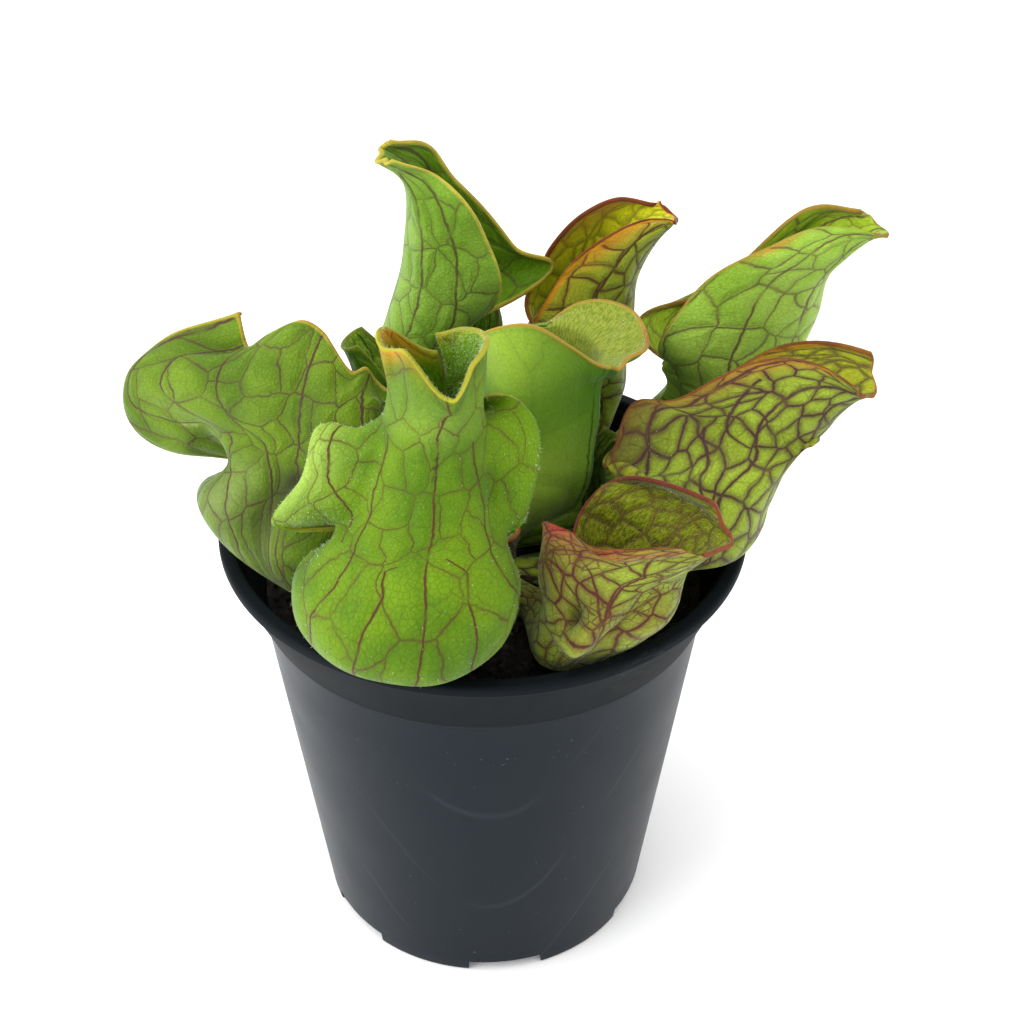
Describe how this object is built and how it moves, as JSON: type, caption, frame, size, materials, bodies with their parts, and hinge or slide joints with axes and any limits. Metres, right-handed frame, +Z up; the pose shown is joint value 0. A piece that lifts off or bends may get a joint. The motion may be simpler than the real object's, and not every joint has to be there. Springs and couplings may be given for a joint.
{
  "type": "potted pitcher plant",
  "caption": "Rosette of veined, hooded purple pitcher leaves growing from a crown in dark soil, in a round black nursery pot with a flared collar.",
  "frame": {"origin": "middle of the pot's base, on the surface that it stands on", "axes": "+Z up; the picture's front is -Y and its right is +X"},
  "size_m": [0.1814, 0.1397, 0.2053],
  "materials": {
    "pot": "satin black, faint flow lines",
    "soil": "dark crumbly peat",
    "rhizome": "rough brown rootstock",
    "pitcher_front": "bright green, dark red ribs, pale down",
    "pitcher_left": "green with a purple net and a yellow edge",
    "pitcher_right": "olive with a dark purple net and an orange edge",
    "pitcher_right_back": "green, fine veins, pale yellow edge",
    "pitcher_back_left": "green, fine veins, pale yellow edge",
    "pitcher_back": "olive with red and orange edges",
    "pitcher_middle": "smooth plain green, pale downy hood",
    "pitcher_front_right": "yellow green with a dense red net and a pink edge",
    "young_leaf": "smooth green",
    "young_leaf_red": "dark maroon"
  },
  "bodies": {
    "root": {"pot": "pot", "soil": "soil", "rhizome": "rhizome", "pitcher_front": "pitcher_front", "pitcher_left": "pitcher_left", "pitcher_right": "pitcher_right", "pitcher_right_back": "pitcher_right_back", "pitcher_back_left": "pitcher_back_left", "pitcher_back": "pitcher_back", "pitcher_middle": "pitcher_middle", "pitcher_front_right": "pitcher_front_right", "young_left": "young_leaf", "young_back": "young_leaf", "young_right": "young_leaf", "young_front": "young_leaf_red"}
  },
  "joints": []
}
